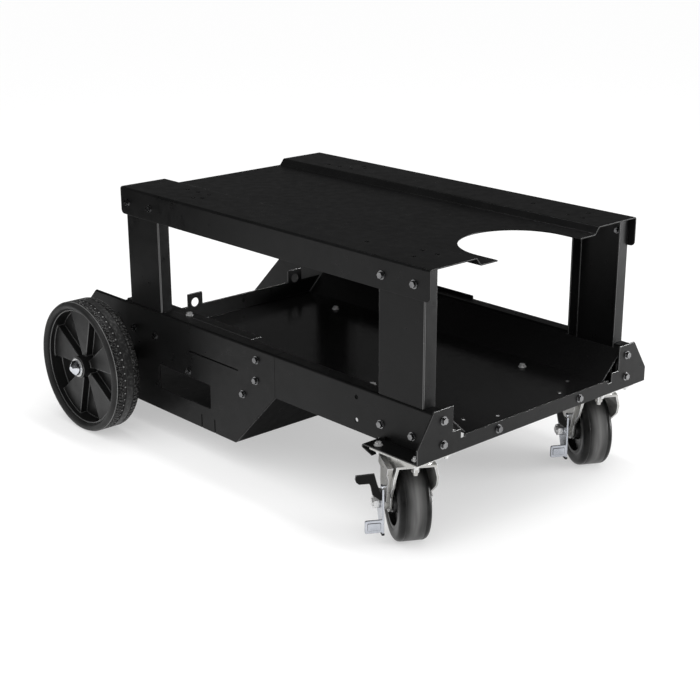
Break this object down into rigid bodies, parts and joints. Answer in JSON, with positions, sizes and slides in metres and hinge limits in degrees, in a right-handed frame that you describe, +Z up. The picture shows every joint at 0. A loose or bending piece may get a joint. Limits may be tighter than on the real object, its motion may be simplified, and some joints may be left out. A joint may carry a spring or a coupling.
{
  "type": "welding cart",
  "caption": "Low welding cart with a shelf on posts, a tray, a low cylinder platform between large rear wheels, and braked swivel casters in front.",
  "frame": {"origin": "on the floor, under the middle of the overall length and width", "axes": "+X towards the caster end, +Y towards the cart's left side, +Z up"},
  "size_m": [1.05, 0.7068, 0.444],
  "materials": {
    "powder_coat": "satin black powder coat",
    "plain_steel": "plain turned steel",
    "zinc_plate": "bright zinc plate",
    "chrome_plate": "polished nickel chrome plate",
    "dark_fasteners": "black oxide",
    "rim_plastic": "moulded black plastic",
    "tyre_rubber": "moulded black rubber",
    "caster_rubber": "hard glossy black rubber",
    "caster_core": "glossy black plastic",
    "pedal_coat": "glossy black coating"
  },
  "bodies": {
    "cart": {"top_shelf": "powder_coat", "front_post_right": "powder_coat", "front_post_left": "powder_coat", "rear_post_right": "powder_coat", "rear_post_left": "powder_coat", "rear_post_clips": "powder_coat", "front_rail_right": "powder_coat", "front_rail_left": "powder_coat", "splice_right": "powder_coat", "splice_left": "powder_coat", "side_panel_right": "powder_coat", "side_panel_left": "powder_coat", "cylinder_platform": "powder_coat", "tray": "powder_coat", "tray_rear_wall": "powder_coat", "tray_crossmember": "powder_coat", "cover_strips": "powder_coat", "front_plate": "powder_coat", "caster_bracket_right": "powder_coat", "caster_bracket_left": "powder_coat", "rear_axle": "plain_steel", "axle_spacers": "plain_steel", "axle_washers": "plain_steel", "axle_caps": "chrome_plate", "caster_plate_right": "zinc_plate", "upper_race_right": "zinc_plate", "kingpin_right": "plain_steel", "caster_plate_left": "zinc_plate", "upper_race_left": "zinc_plate", "kingpin_left": "plain_steel", "frame_bolts": "dark_fasteners", "frame_nuts": "dark_fasteners", "front_bolts": "plain_steel", "front_nuts": "plain_steel", "caster_bolts": "zinc_plate", "caster_nuts": "zinc_plate", "tray_bolts": "zinc_plate"},
    "rear_wheel_right": {"rear_rim_right": "rim_plastic", "rear_tyre_right": "tyre_rubber"},
    "swivel_right": {"swivel_balls_right": "chrome_plate", "fork_right": "zinc_plate", "caster_axle_right": "plain_steel", "axle_bush_right": "plain_steel", "brake_cam_right": "zinc_plate"},
    "caster_wheel_right": {"caster_hub_right": "caster_core", "caster_tread_right": "caster_rubber"},
    "brake_right": {"brake_lever_right": "chrome_plate", "brake_pedal_right": "pedal_coat"},
    "rear_wheel_left": {"rear_rim_left": "rim_plastic", "rear_tyre_left": "tyre_rubber"},
    "swivel_left": {"swivel_balls_left": "chrome_plate", "fork_left": "zinc_plate", "caster_axle_left": "plain_steel", "axle_bush_left": "plain_steel", "brake_cam_left": "zinc_plate"},
    "caster_wheel_left": {"caster_hub_left": "caster_core", "caster_tread_left": "caster_rubber"},
    "brake_left": {"brake_lever_left": "chrome_plate", "brake_pedal_left": "pedal_coat"}
  },
  "joints": [
    {"name": "rear_wheel_right_spin", "type": "hinge", "parent": "cart", "child": "rear_wheel_right", "pos_m": [-0.282, -0.312, 0.121], "axis": [0, 1, 0], "continuous": true},
    {"name": "caster_right_swivel", "type": "hinge", "parent": "cart", "child": "swivel_right", "pos_m": [0.465, -0.227, 0.1425], "axis": [0, 0, 1], "continuous": true},
    {"name": "caster_right_roll", "type": "hinge", "parent": "swivel_right", "child": "caster_wheel_right", "pos_m": [0.441, -0.21258, 0.0635], "axis": [0.515, 0.8572, 0], "continuous": true},
    {"name": "brake_right_press", "type": "hinge", "parent": "swivel_right", "child": "brake_right", "pos_m": [0.441, -0.21258, 0.0635], "axis": [0.515, 0.8572, 0], "range_deg": [0, 20]},
    {"name": "rear_wheel_left_spin", "type": "hinge", "parent": "cart", "child": "rear_wheel_left", "pos_m": [-0.282, 0.312, 0.121], "axis": [0, 1, 0], "continuous": true},
    {"name": "caster_left_swivel", "type": "hinge", "parent": "cart", "child": "swivel_left", "pos_m": [0.465, 0.208, 0.1425], "axis": [0, 0, 1], "continuous": true},
    {"name": "caster_left_roll", "type": "hinge", "parent": "swivel_left", "child": "caster_wheel_left", "pos_m": [0.441, 0.22242, 0.0635], "axis": [0.515, 0.8572, 0], "continuous": true},
    {"name": "brake_left_press", "type": "hinge", "parent": "swivel_left", "child": "brake_left", "pos_m": [0.441, 0.22242, 0.0635], "axis": [0.515, 0.8572, 0], "range_deg": [0, 20]}
  ]
}
